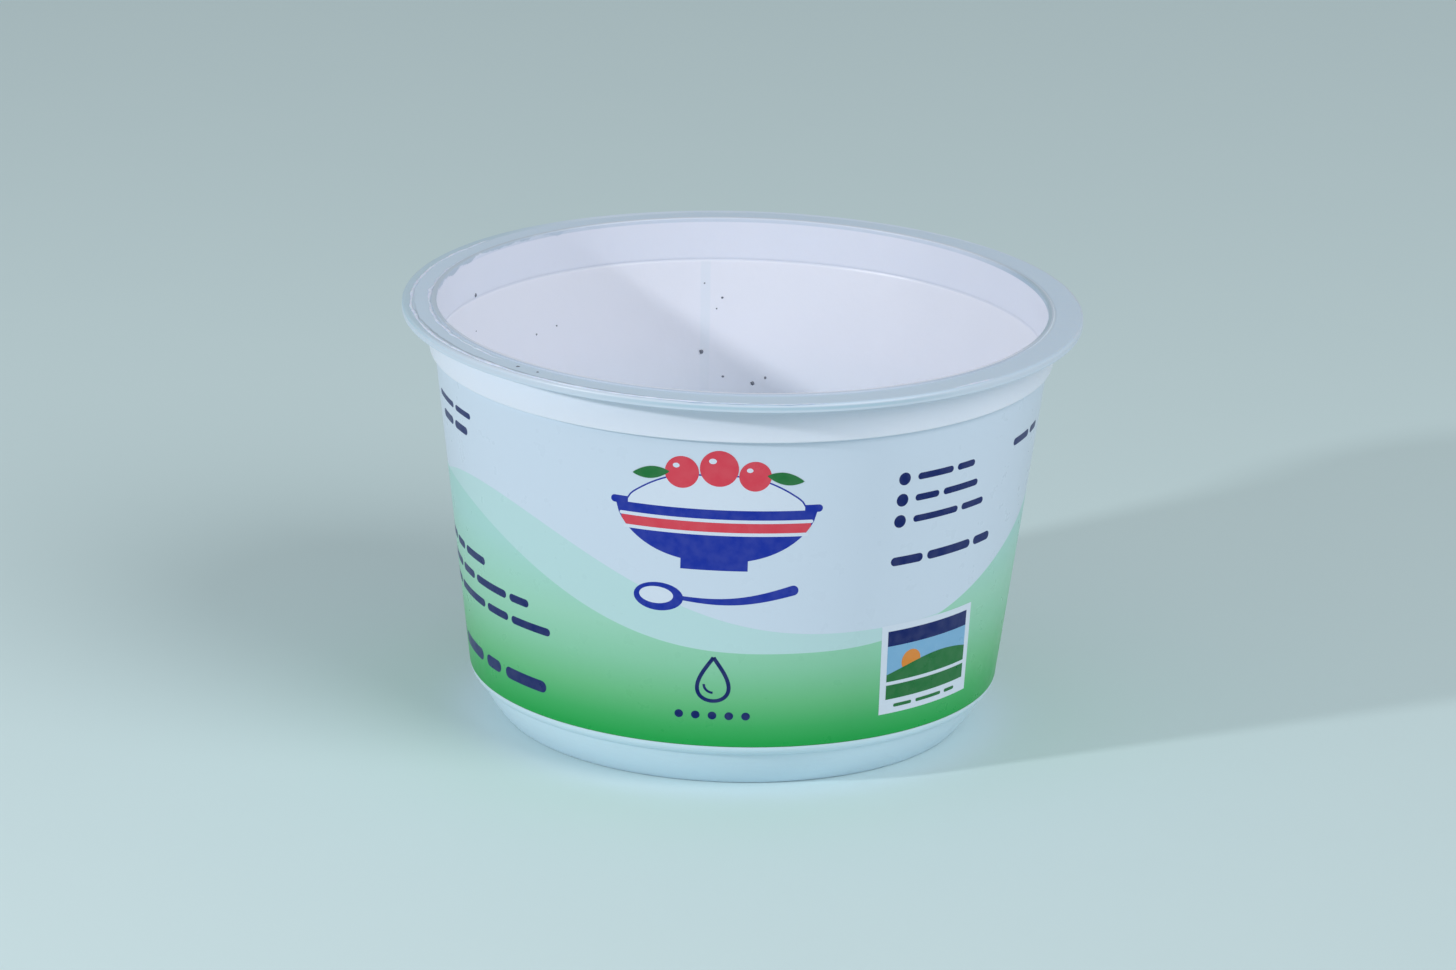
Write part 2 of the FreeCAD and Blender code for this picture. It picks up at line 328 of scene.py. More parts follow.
angle = add_node(turn_tree, "ShaderNodeMapRange",
                 {"Value": column, "From Min": 0.0, "From Max": ask["Steps"],
                  "To Min": ask["Start"], "To Max": ask["End"]})
turned = add_node(turn_tree, "ShaderNodeVectorRotate",
                  {"Vector": spot.outputs["Value"], "Angle": angle.outputs["Result"]},
                  rotation_type="Z_AXIS")
placed = add_node(turn_tree, "GeometryNodeSetPosition",
                  {"Geometry": grid.outputs["Mesh"], "Position": turned.outputs["Vector"]})
finish_tree(turn_tree, placed.outputs["Geometry"], ask["Finish"], result)

# %% [markdown]
# ## The plastic
# The sheet is polypropylene, milky and a little see-through, with a soft gloss. Its white isn't the
# same all over. Inside, painted shade makes it darker and bluer low on the wall and over the floor,
# greys the band above the crease a little, and is darkest in the crease itself. Outside, a painted
# cyan tint of bounced light makes it bluer towards the foot. The gap between the film's two ends
# shows through the wall as a faint strip. The colour comes from where a point is on the cup, which
# the shader reads from Object coordinates, and from the way that the surface there faces.


# %% Shader helpers
def new_finish(name):
    """An empty material, with its node tree, its Principled shader and its Object coordinates."""
    material = bpy.data.materials.new(name)
    material.use_nodes = True
    tree = material.node_tree
    tree.nodes.clear()
    shader = tree.nodes.new("ShaderNodeBsdfPrincipled")
    output = tree.nodes.new("ShaderNodeOutputMaterial")
    tree.links.new(shader.outputs["BSDF"], output.inputs["Surface"])
    place = tree.nodes.new("ShaderNodeTexCoord").outputs["Object"]
    return material, tree, shader, place


def ramp(tree, value, start, end, low=0.0, high=1.0):
    """The output of a clamped Map Range node."""
    return add_node(tree, "ShaderNodeMapRange",
                    {"Value": value, "From Min": start, "From Max": end, "To Min": low,
                     "To Max": high}).outputs["Result"]


def mix_colours(tree, share, first, second):
    """The output of a Mix node that blends two colours."""
    made = add_node(tree, "ShaderNodeMix", data_type="RGBA")
    for socket, source in zip((made.inputs[0], made.inputs[6], made.inputs[7]),
                              (share, first, second)):
        if isinstance(source, bpy.types.NodeSocket):
            tree.links.new(source, socket)
        else:
            socket.default_value = source
    return made.outputs[2]


def noise(tree, place, scale, detail=2.0):
    """The factor of a noise texture with so many blotches to the metre."""
    return add_node(tree, "ShaderNodeTexNoise",
                    {"Vector": place, "Scale": scale, "Detail": detail}).outputs["Fac"]


def mottled(tree, place, scale, first, second, detail=3, fade=(0.35, 0.65), most=1.0):
    """A colour that drifts in blotches from a first one, at most this far to a second."""
    share = ramp(tree, noise(tree, place, scale, detail), *fade, 0.0, most)
    return mix_colours(tree, share, first, second)


def uneven_gloss(tree, shader, place, scale, low, high):
    """Let a shader's roughness drift between two values in small blotches."""
    drift = ramp(tree, noise(tree, place, scale, 4), 0.3, 0.7, low, high)
    tree.links.new(drift, shader.inputs["Roughness"])


def bumped(tree, shader, height, distance):
    """Give a shader a bump of this depth in metres from a height field."""
    bump = add_node(tree, "ShaderNodeBump", {"Height": height, "Distance": distance})
    tree.links.new(bump.outputs["Normal"], shader.inputs["Normal"])


def colour(red, green, blue):
    """A display colour, 0 to 255, as the linear colour that shaders work with."""
    linear = []
    for value in (red, green, blue):
        share = value / 255  # the sRGB curve: a short straight part, then a power of 2.4
        linear.append(share / 12.92 if share <= 0.04045 else ((share + 0.055) / 1.055) ** 2.4)
    return (*linear, 1.0)


def near(tree, value, middle, reach, soft):
    """A mask that is one within reach of a middle value and fades out over a soft edge."""
    off = math_node(tree, "ABSOLUTE", math_node(tree, "SUBTRACT", value, middle))
    return ramp(tree, off, reach + soft, reach)


def overlap(tree, first, *others):
    """A mask where all of these masks overlap."""
    for mask in others:
        first = math_node(tree, "MULTIPLY", first, mask)
    return first


def measure_cup(tree, place):
    """Radius and height of a surface point in millimetres, and its angle from the front."""
    axes = add_node(tree, "ShaderNodeSeparateXYZ", {0: place}).outputs
    flat = vector_node(tree, "MULTIPLY", place, (1 / MM, 1 / MM, 0))
    radius = vector_node(tree, "LENGTH", flat, output="Value")
    height = math_node(tree, "MULTIPLY", axes["Z"], 1 / MM)
    back = math_node(tree, "MULTIPLY", axes["Y"], -1.0)
    angle = math_node(tree, "ARCTAN2", axes["X"], back)
    return radius, height, angle


# %% White plastic: the tones of the inside, with painted shade
WALL_WHITE = colour(236, 239, 251)
# Painted shade, darker and bluer, low on the inside wall and over the floor.
DEEP_SHADE_WHITE = colour(225, 237, 249)
# Painted shade: a little grey on the band above the crease, darker in the crease itself.
BAND_SHADE_WHITE = colour(229, 234, 248)
CREASE_SHADE_GREY = colour(222, 227, 241)
STRIP_WHITE = colour(229, 236, 248)
SEAM_TURN, HALF_STRIP = math.radians(7.5), 0.014

plastic, tree, shader, place = new_finish("white plastic")
radius, height, angle = measure_cup(tree, place)
# Painted shade deep in the cup: the inside darkens from 42 mm down to 22 mm.
inner_white = mix_colours(tree, ramp(tree, height, 22, 42), DEEP_SHADE_WHITE, WALL_WHITE)
strip = overlap(tree, near(tree, angle, SEAM_TURN - math.pi, HALF_STRIP, 0.006),
                ramp(tree, height, CREASE - 0.1, CREASE - 0.4))
inner_white = mix_colours(tree, strip, inner_white, STRIP_WHITE)
# Painted shade above the crease, and darkest in its groove.
band = ramp(tree, height, CREASE - 0.1, CREASE + 0.1)
inner_white = mix_colours(tree, band, inner_white, BAND_SHADE_WHITE)
inner_white = mix_colours(tree, near(tree, height, CREASE, 0.12, 0.12), inner_white, CREASE_SHADE_GREY)

# %% White plastic: the tones of the outside, with painted bounce light at the foot
COLLAR_WHITE = colour(224, 230, 243)
# Painted bounce light: a cyan tint at the foot, as of light bounced up off the floor.
FOOT_BOUNCE_WHITE = colour(209, 231, 244)

# The painted bounce light fades out upward, from 8 mm to 40 mm.
outer_white = mix_colours(tree, ramp(tree, height, 8, 40), FOOT_BOUNCE_WHITE, COLLAR_WHITE)
outward = vector_node(tree, "NORMALIZE", vector_node(tree, "MULTIPLY", place, (1, 1, 0)))
normal = add_node(tree, "ShaderNodeNewGeometry").outputs["Normal"]
facing = vector_node(tree, "DOT_PRODUCT", normal, outward, output="Value")
outside = overlap(tree, ramp(tree, facing, 0.05, 0.35),
                  ramp(tree, radius, RING_RADIUS + 0.7, RING_RADIUS + 1.2))
body_white = mix_colours(tree, outside, inner_white, outer_white)

# %% [markdown]
# ## The flange, and the mark of its lid
# No film covers the flange and nothing is behind it, so it looks greyer than the walls. The foil
# lid was welded to it in a ring that sits a little off centre. That ring is bluer than the edge
# outside it, and a thin painted shadow runs just inside its border, beside the lacquer bead, at the
# left of the front. Painted light lightens the flange's rounded top and lower edges, most at the
# back, and painted shade darkens the flange at the front and its top edge on the left. The mouth
# bead is as white as the wall, but on the right its face has painted shade beside a painted
# highlight on its crest, the back of its face has a little of that shade, and on the left torn
# lacquer dulls it. So the flange is painted in layers. Each is a mask and a colour, and a loop lays
# one over the other.

# %% White plastic: measures on the flange
SEAL_RADIUS, SEAL_SHIFT = 46.8, (0.5, -0.55, 0)
# Parts of the rim by their angle from the front: the middle, the reach and the soft edge.
LEFT, FRONT_LEFT = (-1.8, 0.5, 0.4), (-0.8, 0.4, 0.4)
FRONT, RIGHT = (0.12, 0.28, 0.35), (1.65, 0.3, 0.4)
BACK_FADE = (1.9, 2.4)

from_mouth = math_node(tree, "SUBTRACT", radius, MOUTH_RADIUS)
from_top = math_node(tree, "SUBTRACT", height, TOP)
flat = vector_node(tree, "MULTIPLY", place, (1 / MM, 1 / MM, 0))
from_seal = vector_node(tree, "SUBTRACT", flat, SEAL_SHIFT)
seal_reach = vector_node(tree, "LENGTH", from_seal, output="Value")
ragged = ramp(tree, noise(tree, place, 260, 4), 0.3, 0.7, -0.2, 0.2)
seal_reach = math_node(tree, "ADD", seal_reach, ragged)
on_left, on_front_left = near(tree, angle, *LEFT), near(tree, angle, *FRONT_LEFT)
at_front, on_right = near(tree, angle, *FRONT), near(tree, angle, *RIGHT)
at_back = ramp(tree, math_node(tree, "ABSOLUTE", angle), *BACK_FADE)

# %% White plastic: masks for the parts of the flange
SHADOW_INSET, CREST_REACH, TORN_WANDER = 0.55, 0.80, 2.5
# Where masks start and end, in millimetres outward from the mouth or upward from the top face.
BEAD_FADE, SLOPE_FADE, FACE_FADE, TORN_FADE = (0.82, 0.70), (0.45, 0.60), (0.60, 0.42), (0.9, 0.8)
TOP_EDGE_FADE, TOP_FACE_FADE, TORN_TOP_FADE = (-0.46, -0.34), (-0.30, -0.12), (-0.3, -0.1)

flange = overlap(tree, ramp(tree, from_mouth, 0.02, 0.2),
                 ramp(tree, height, FLANGE_LOW - 0.2, FLANGE_LOW + 0.1))
low_edge = ramp(tree, height, FLANGE_LOW + 0.50, FLANGE_LOW + 0.30)
top_edge = ramp(tree, from_top, *TOP_EDGE_FADE)
top_face = ramp(tree, from_top, *TOP_FACE_FADE)
sealed = overlap(tree, ramp(tree, seal_reach, SEAL_RADIUS + 0.15, SEAL_RADIUS - 0.15), top_face)
# Painted shadow: a thin dark line just inside the seal's border, beside the lacquer bead.
lacquer_shadow = near(tree, seal_reach, SEAL_RADIUS - SHADOW_INSET, 0.06, 0.16)
bead = overlap(tree, ramp(tree, from_mouth, *BEAD_FADE), top_edge)
bead_slope = overlap(tree, bead, ramp(tree, from_mouth, *SLOPE_FADE))
bead_face = overlap(tree, bead, ramp(tree, from_mouth, *FACE_FADE))
# Painted highlight: the crest just outside the mouth bead.
crest = overlap(tree, near(tree, from_mouth, CREST_REACH, 0.10, 0.12), top_face)
torn = math_node(tree, "ADD", from_top, math_node(tree, "MULTIPLY", ragged, TORN_WANDER))
torn = overlap(tree, ramp(tree, torn, *TORN_TOP_FADE), ramp(tree, from_mouth, *TORN_FADE))

# %% White plastic: paint the flange, layer over layer
# Painted highlight for the flange's rounded edges, and painted shade for the mouth bead's face.
PAINTED_EDGE_LIGHT, RIM_SHADE = colour(199, 213, 229), colour(168, 191, 208)
SHADOW_SHARE, BACK_SHARE = 0.7, 0.35
flange_layers = (
    (flange, colour(198, 210, 225)),
    # Painted shade on the flange at the front, below its rim.
    (overlap(tree, flange, at_front), colour(176, 201, 217)),
    # Painted highlight along the flange's lower edge and its top edge.
    (overlap(tree, flange, low_edge), PAINTED_EDGE_LIGHT),
    (overlap(tree, flange, top_edge), PAINTED_EDGE_LIGHT),
    # Painted highlight, palest, on the top edge at the back.
    (overlap(tree, flange, top_edge, at_back), colour(208, 226, 245)),
    # Painted shade on the top edge at the left.
    (overlap(tree, flange, top_edge, on_left), colour(180, 206, 222)),
    (overlap(tree, flange, sealed), colour(195, 216, 235)),
    # Painted shadow beside the lacquer bead, at the left of the front.
    (overlap(tree, sealed, lacquer_shadow, on_front_left, SHADOW_SHARE), colour(142, 160, 176)),
    (bead, colour(224, 231, 247)),
    (bead_slope, colour(178, 194, 214)),
    # Painted shade on the mouth bead's inner face, a little at the back and fully on the right,
    # with a painted highlight on the crest beside it on the right.
    (overlap(tree, bead_face, at_back, BACK_SHARE), RIM_SHADE),
    (overlap(tree, bead_face, on_right), RIM_SHADE),
    (overlap(tree, crest, on_right), colour(212, 228, 242)),
    (overlap(tree, torn, on_left), colour(183, 200, 217)),
)
for mask, shade in flange_layers:
    body_white = mix_colours(tree, mask, body_white, shade)
print(f"flange: {len(flange_layers)} layers of colour")

# %% White plastic: its slow unevenness, gloss and grain
CLOUD_GREY = colour(190, 205, 220)
PLASTIC_IOR = 1.49
MILKINESS, MILK_DEPTH, MILK_TINT = 0.15, 0.0012, (1.0, 0.9, 0.8)
GRAIN_DEPTH = 0.00003

clouded = mottled(tree, place, 90, body_white, CLOUD_GREY, 2, (0.3, 0.7), most=0.05)
tree.links.new(clouded, shader.inputs["Base Color"])
uneven_gloss(tree, shader, place, 400, 0.30, 0.40)
shader.inputs["IOR"].default_value = PLASTIC_IOR
shader.inputs["Subsurface Weight"].default_value = MILKINESS
shader.inputs["Subsurface Scale"].default_value = MILK_DEPTH
shader.inputs["Subsurface Radius"].default_value = MILK_TINT
bumped(tree, shader, noise(tree, place, 700, 3), GRAIN_DEPTH)

# %% [markdown]
# ## The shell
# The outline goes once round in 256 steps, fine enough for the rim's edge to stay smooth. It starts
# at the back, where the join between the first and the last column is out of sight, and the tree
# merges the points that meet there. The result is kept as a plain mesh that replaces the solid.

# %% Turn the shell
STEPS = 256
BACK = math.pi / 2


def outline_mesh(name, points):
    """The outline as a line of vertices in the XZ plane, in metres."""
    mesh = bpy.data.meshes.new(name)
    spots = [(point.x * MM, 0, point.y * MM) for point in points]
    mesh.from_pydata(spots, [(row, row + 1) for row in range(len(spots) - 1)], [])
    return mesh


shell = run_tree("cup_shell", turn_tree, outline_mesh("shell_outline", shell_outline),
                 Steps=STEPS, Start=BACK, End=BACK + 2 * math.pi, Finish=plastic)
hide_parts("cup")
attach(shell, "root")

# %% [markdown]
# ## The printed film
# The film is a strip laid in the mould before the cup is pressed, so it lies flush in the wall, and
# its two ends almost meet at the back. It is white at the top and green below. The green ends in
# two soft waves, a deep one in front and a paler one behind it, that rise and fall twice on the way
# round. A wave needs only a cosine of the angle, so a few Math nodes draw its edge, and a colour
# ramp shades it by height.

# %% Film finish
FILM_WHITE = colour(206, 219, 235)
WAVE_TONES = [(7.4, (32, 163, 76)), (10.0, (65, 174, 99)), (14.0, (108, 190, 134)),
              (19.0, (139, 203, 169)), (24.0, (158, 211, 188)), (32.0, (170, 214, 210))]
PALE_WAVE = (188, 219, 222)
PRINT_GLOSS = 0.2
FILM_BLOTCHES = (350, 0.26, 0.36)
WAVE_RISE, WAVE_SHARPNESS, WAVE_SOFTNESS = 15.5, 1.5, 0.04
FILM_GRAIN = 0.000006


def wave_edge(tree, angle, turn, low):
    """Height of an edge that is lowest at this turn from the front and rises to each side."""
    away = math_node(tree, "MULTIPLY", math_node(tree, "SUBTRACT", angle, turn), 2.0)
    swing = math_node(tree, "MULTIPLY",
                      math_node(tree, "SUBTRACT", 1.0, math_node(tree, "COSINE", away)), 0.5)
    swing = math_node(tree, "POWER", swing, WAVE_SHARPNESS)
    return math_node(tree, "ADD", math_node(tree, "MULTIPLY", swing, WAVE_RISE), low)


def below(tree, height, edge):
    """One under an edge and nothing over it."""
    short_of = math_node(tree, "SUBTRACT", edge, height)
    return ramp(tree, short_of, -WAVE_SOFTNESS, WAVE_SOFTNESS)


film_finish, tree, shader, place = new_finish("printed film")
_, height, angle = measure_cup(tree, place)
deep_wave = below(tree, height, wave_edge(tree, angle, turn=0.20, low=21.0))
pale_wave = below(tree, height, wave_edge(tree, angle, turn=0.52, low=23.6))
first_tone, last_tone = WAVE_TONES[0][0], WAVE_TONES[-1][0]
tone = add_node(tree, "ShaderNodeValToRGB", {"Fac": ramp(tree, height, first_tone, last_tone)})
stops = tone.color_ramp.elements
stops[0].color, stops[-1].color = colour(*WAVE_TONES[0][1]), colour(*WAVE_TONES[-1][1])
for level, shade in WAVE_TONES[1:-1]:
    stops.new((level - first_tone) / (last_tone - first_tone)).color = colour(*shade)
print_colour = mix_colours(tree, pale_wave, FILM_WHITE, colour(*PALE_WAVE))
print_colour = mix_colours(tree, deep_wave, print_colour, tone.outputs["Color"])
tree.links.new(print_colour, shader.inputs["Base Color"])
uneven_gloss(tree, shader, place, *FILM_BLOTCHES)
shader.inputs["IOR"].default_value = PLASTIC_IOR
shader.inputs["Specular IOR Level"].default_value = PRINT_GLOSS
bumped(tree, shader, noise(tree, place, 500, 2), FILM_GRAIN)

# %% [markdown]
# ## The film's shape
# The same tree turns the film, from one side of the gap round to the other. Only its printed face
# is turned. A Solidify modifier then adds the thickness inward, so that face stays where it is, and
# it stops a hundredth of a millimetre short of the wall, so the two surfaces never share a plane.

# %% Turn the film
FILM_GAP, FILM_CLEARANCE = 0.60, 0.01
film_ends = (label_high.z / MM, label_low.z / MM)
film_outline = [Vector((label_face(height), height)) for height in film_ends]
half_gap = FILM_GAP / 2 / label_face(COLLAR_LOW)
film = run_tree("label_film", turn_tree, outline_mesh("film_outline", spread(film_outline)),
                Steps=STEPS, Start=BACK + SEAM_TURN + half_gap,
                End=BACK + SEAM_TURN + 2 * math.pi - half_gap, Finish=film_finish)

# %% Give the film its thickness
thick = film.modifiers.new("thickness", "SOLIDIFY")
thick.thickness = (LABEL_THICKNESS - FILM_CLEARANCE) * MM
thick.offset = -1.0
graph = bpy.context.evaluated_depsgraph_get()
solid_film = bpy.data.meshes.new_from_object(film.evaluated_get(graph), depsgraph=graph)
film.modifiers.clear()
film.data = solid_film
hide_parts("label")
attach(film, "root")
print(f"film: {len(solid_film.polygons)} faces with its thickness")

# %% [markdown]
# ## Flat artwork, wrapped round the cone
# Printed shapes are easiest to draw flat, as across and height in millimetres. Each shape is a
# ladder: a list of rungs, every rung a pair of points on its two edges, so it has enough points to
# bend. A second node tree wraps the flat shapes: across becomes an angle, and height becomes a
# place up the leaning wall. The shapes that share an ink and a layer are one piece, and the layers
# stand 0.008 mm apart above the film, so where inks overlap their edges stay crisp.


# %% Ladders for simple shapes
def between(left, right, low, high, steps=40):
    """A shape between two edges, each a function of how far across a point is."""
    spots = [left + (right - left) * step / steps for step in range(steps + 1)]
    return [((across, low(across)), (across, high(across))) for across in spots]


def disc(across, height, wide, tall=None, steps=24):
    """A disc, or an ellipse where the two widths differ."""
    tall = tall or wide
    rungs = []
    for step in range(steps + 1):
        turn = math.pi * step / steps
        spot, rise = across - wide / 2 * math.cos(turn), tall / 2 * math.sin(turn)
        rungs.append(((spot, height - rise), (spot, height + rise)))
    return rungs


def bar(left, right, middle, tall, steps=5, longest=0.8):
    """A straight level bar with round ends."""
    half, straight = tall / 2, right - left - tall
    turns = [math.pi / 2 * step / steps for step in range(steps + 1)]
    spots = [(left + half * (1 - math.cos(turn)), half * math.sin(turn)) for turn in turns]
    count = max(1, round(straight / longest))
    spots += [(left + half + straight * step / count, half) for step in range(1, count)]
    spots += [(right - half * (1 - math.cos(turn)), half * math.sin(turn)) for turn in turns[::-1]]
    return [((across, middle - rise), (across, middle + rise)) for across, rise in spots]


def stroke(points, width):
    """A pen line along some points, of one width or with a list of widths, one for each."""
    widths = width if isinstance(width, list) else [width] * len(points)
    rungs = []
    for index, (across, height) in enumerate(points):
        before, after = points[max(0, index - 1)], points[min(len(points) - 1, index + 1)]
        along = (Vector(after) - Vector(before)).normalized() * widths[index] / 2
        rungs.append(((across + along.y, height - along.x), (across - along.y, height + along.x)))
    return rungs


def flat_print(name, shapes, rows=4):
    """A flat mesh of ladders in the XZ plane, every rung cut into rows."""
    spots, faces = [], []
    for rungs in shapes:
        base = len(spots)
        for first, last in rungs:
            for row in range(rows + 1):
                spot = Vector(first).lerp(Vector(last), row / rows) * MM
                spots.append((spot.x, 0, spot.y))
        for column in range(len(rungs) - 1):
            for row in range(rows):
                corner = base + column * (rows + 1) + row
                faces.append((corner, corner + rows + 1, corner + rows + 2, corner + 1))
    mesh = bpy.data.meshes.new(name)
    mesh.from_pydata(spots, [], faces)
    return mesh


# %% The tree that wraps flat print round the wall
wrap_tree = bpy.data.node_groups.new("Wrap print", "GeometryNodeTree")
given, result = tree_inputs(wrap_tree, Foot="Float", Lean="Float", Lift="Float", Ink="Material")
ask = given.outputs
spot = add_node(wrap_tree, "GeometryNodeInputPosition").outputs[0]
axes = add_node(wrap_tree, "ShaderNodeSeparateXYZ", {0: spot}).outputs
gain = math_node(wrap_tree, "MULTIPLY", axes["Z"], ask["Lean"])
reach = math_node(wrap_tree, "ADD", gain, ask["Foot"])
turn_by = math_node(wrap_tree, "DIVIDE", axes["X"], reach)
raised = math_node(wrap_tree, "ADD", reach, ask["Lift"])
side = math_node(wrap_tree, "MULTIPLY", raised, math_node(wrap_tree, "SINE", turn_by))
front = math_node(wrap_tree, "MULTIPLY", raised, math_node(wrap_tree, "COSINE", turn_by))
front = math_node(wrap_tree, "MULTIPLY", front, -1.0)
where = add_node(wrap_tree, "ShaderNodeCombineXYZ", {"X": side, "Y": front, "Z": axes["Z"]})
bent = add_node(wrap_tree, "GeometryNodeSetPosition",
                {"Geometry": ask["Geometry"], "Position": where.outputs[0]})
finish_tree(wrap_tree, bent.outputs["Geometry"], ask["Ink"], result)


# %% [markdown]
# ## Inks
# Ink lies so thin that it takes on the gloss of the film under it. So each ink has only a colour of
# its own, and noise makes that a touch paler where the ink is a little thinner.

# %% Inks
INK_DRIFT = 0.02
LAYER = 0.008 * MM


def ink_finish(name, shade):
    """A printed ink: its colour a touch uneven, its gloss the film's."""
    material, tree, shader, place = new_finish(name)
    full = colour(*shade)
    thin = (*(channel + (1 - channel) * INK_DRIFT for channel in full[:3]), 1.0)
    tree.links.new(mottled(tree, place, 600, full, thin), shader.inputs["Base Color"])
    uneven_gloss(tree, shader, place, *FILM_BLOTCHES)
    shader.inputs["IOR"].default_value = PLASTIC_IOR
    shader.inputs["Specular IOR Level"].default_value = PRINT_GLOSS
    return material


INKS = {
    "white": (213, 223, 238), "sky": (126, 176, 214), "red": (214, 66, 84),
    "blue": (20, 46, 158), "navy": (3, 28, 98), "leaf": (30, 112, 56), "orange": (222, 138, 56),
}
inks = {name: ink_finish(f"{name} ink", shade) for name, shade in INKS.items()}


def print_ink(name, ink, shapes, layer):
    """Wrap the shapes of one ink round the film, on its own layer."""
    made = run_tree(name, wrap_tree, flat_print(name, shapes), Foot=label_face(0) * MM,
                    Lean=slope(WALL_LEAN), Lift=layer * LAYER, Ink=inks[ink])
    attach(made, "root")
    return made


# %% [markdown]
# ## The picture on the front
# A bowl of white curd with red berries, over a spoon. It is drawn from ellipses and simple curves,
# in the two strong colours of a dairy pack.

# %% Bowl and curd
BOWL_MIDDLE, BOWL_RIM = -2.9, 42.4
BOWL_WIDE, BOWL_DEEP, BOWL_FOOT = 28.0, 7.8, 4.6
CURD_INSET, CURD_RISE, CURD_LIFT = 1.8, 4.2, 0.5
LOBE_RISE, LOBE_SPACING = 0.5, 3.4
bowl_left, bowl_right = BOWL_MIDDLE - BOWL_WIDE / 2, BOWL_MIDDLE + BOWL_WIDE / 2


def away(across, half_width):
    """How far a point is from the bowl's middle line, as a share of a half width."""
    return min(1.0, abs(across - BOWL_MIDDLE) / half_width)


def bowl_low(across):
    """Lower edge of the bowl, fuller than an ellipse."""
    return BOWL_RIM - BOWL_DEEP * (1 - away(across, BOWL_WIDE / 2) ** 2.4) ** 0.62


def curd_high(across):
    """Upper edge of the curd that stands over the rim, in soft lobes."""
    lobes = LOBE_RISE * abs(math.sin((across - BOWL_MIDDLE) / LOBE_SPACING))
    dome = (1 - away(across, BOWL_WIDE / 2 - CURD_INSET) ** 2.2) ** 0.7
    return BOWL_RIM + CURD_LIFT + (CURD_RISE + lobes) * dome


bowl = between(bowl_left, bowl_right, bowl_low, lambda across: BOWL_RIM, 60)
bowl_foot = between(BOWL_MIDDLE - BOWL_FOOT, BOWL_MIDDLE + BOWL_FOOT,
                    lambda across: BOWL_RIM - BOWL_DEEP - 1.2,
                    lambda across: BOWL_RIM - BOWL_DEEP + 0.4, 10)
bowl_rim = bar(bowl_left - 0.7, bowl_right + 0.7, BOWL_RIM + 0.25, 1.1)
curd = between(bowl_left + CURD_INSET, bowl_right - CURD_INSET, lambda across: BOWL_RIM,
               curd_high, 60)
curd_edge = stroke([rung[1] for rung in curd], 0.45)
red_band = between(bowl_left + 0.9, bowl_right - 0.9,
                   lambda across: max(BOWL_RIM - 3.3, bowl_low(across)),
                   lambda across: BOWL_RIM - 1.9)
band_edges = [bar(bowl_left + 0.6, bowl_right - 0.6, BOWL_RIM - 1.65, 0.5),
              bar(bowl_left + 1.2, bowl_right - 1.2, BOWL_RIM - 3.55, 0.5)]

# %% Berries and leaves
BERRIES = ((-4.7, 5.3, 4.7), (0.4, 6.1, 5.3), (5.3, 5.1, 4.4))
SHINE_ACROSS, SHINE_UP, SHINE_WIDE, SHINE_TALL = -0.17, 0.2, 0.2, 0.15
berries, shines = [], []
for across, up, wide in BERRIES:
    across, height = BOWL_MIDDLE + across, BOWL_RIM + up
    berries.append(disc(across, height, wide))
    shines.append(disc(across + SHINE_ACROSS * wide, height + SHINE_UP * wide,
                       SHINE_WIDE * wide, SHINE_TALL * wide, 12))


def leaf(left, right, height, rise, plump):
    """A pointed leaf whose middle line climbs from left to right."""
    def middle(across):
        return height + rise * (across - left) / (right - left)

    def half(across):
        return plump * math.sin(math.pi * (across - left) / (right - left)) ** 0.8

    return between(left, right, lambda across: middle(across) - half(across),
                   lambda across: middle(across) + half(across), 20)


leaves = [leaf(BOWL_MIDDLE - 11.6, BOWL_MIDDLE - 6.4, 46.9, 0.7, 0.9),
          leaf(BOWL_MIDDLE + 6.9, BOWL_MIDDLE + 12.0, 47.6, -0.9, 0.9)]

# %% Spoon
SPOON_LEFT, SPOON_RIGHT, SPOON_HEIGHT, SPOON_RISE, SPOON_SAG = -7.6, 8.0, 29.0, 1.5, 0.9
THIN_END, THICKENING = 0.6, 0.9


def handle_spot(share):
    """A point of the spoon's handle, which bends slightly upward."""
    sag = SPOON_SAG * math.sin(math.pi * share)
    across = SPOON_LEFT + (SPOON_RIGHT - SPOON_LEFT) * share
    return (across, SPOON_HEIGHT + SPOON_RISE * share - sag)


shares = [step / 30 for step in range(31)]
spoon_handle = stroke([handle_spot(share) for share in shares],
                      [THIN_END + THICKENING * share for share in shares])
spoon_end = disc(*handle_spot(1), 1.5)
spoon_bowl = disc(SPOON_LEFT - 2.9, SPOON_HEIGHT - 0.1, 7.0, 4.2)
spoon_hollow = disc(SPOON_LEFT - 3.2, SPOON_HEIGHT + 0.1, 4.8, 2.5)

# %% A drop in outline, with a row of dots under it
DROP_MIDDLE, DROP_HEIGHT, DROP_RADIUS, PEN = -2.6, 16.4, 2.6, 0.55
DROP_WIDENING, DROP_TALL, DROP_LIFT, TIP_SHARPNESS = 1.15, 3.3, 0.7, 1.3
SHINE_RADIUS, SHINE_DROP, SHINE_PEN = 1.25, 0.1, 0.35
DOT_HEIGHT, DOT_WIDE, DOT_SPACING = 11.6, 1.2, 2.3


def drop_spot(turn):
    """A point of a drop's outline, round below and drawn out to a tip above."""
    width = DROP_RADIUS * math.sin(turn) * math.sin(turn / 2) ** TIP_SHARPNESS
    height = DROP_HEIGHT + DROP_LIFT + DROP_TALL * math.cos(turn)
    return (DROP_MIDDLE + DROP_WIDENING * width, height)


def shine_spot(turn):
    """A point of the short arc that shines inside the drop, at its lower left."""
    return (DROP_MIDDLE - SHINE_RADIUS * math.cos(turn),
            DROP_HEIGHT - SHINE_DROP - SHINE_RADIUS * math.sin(turn))


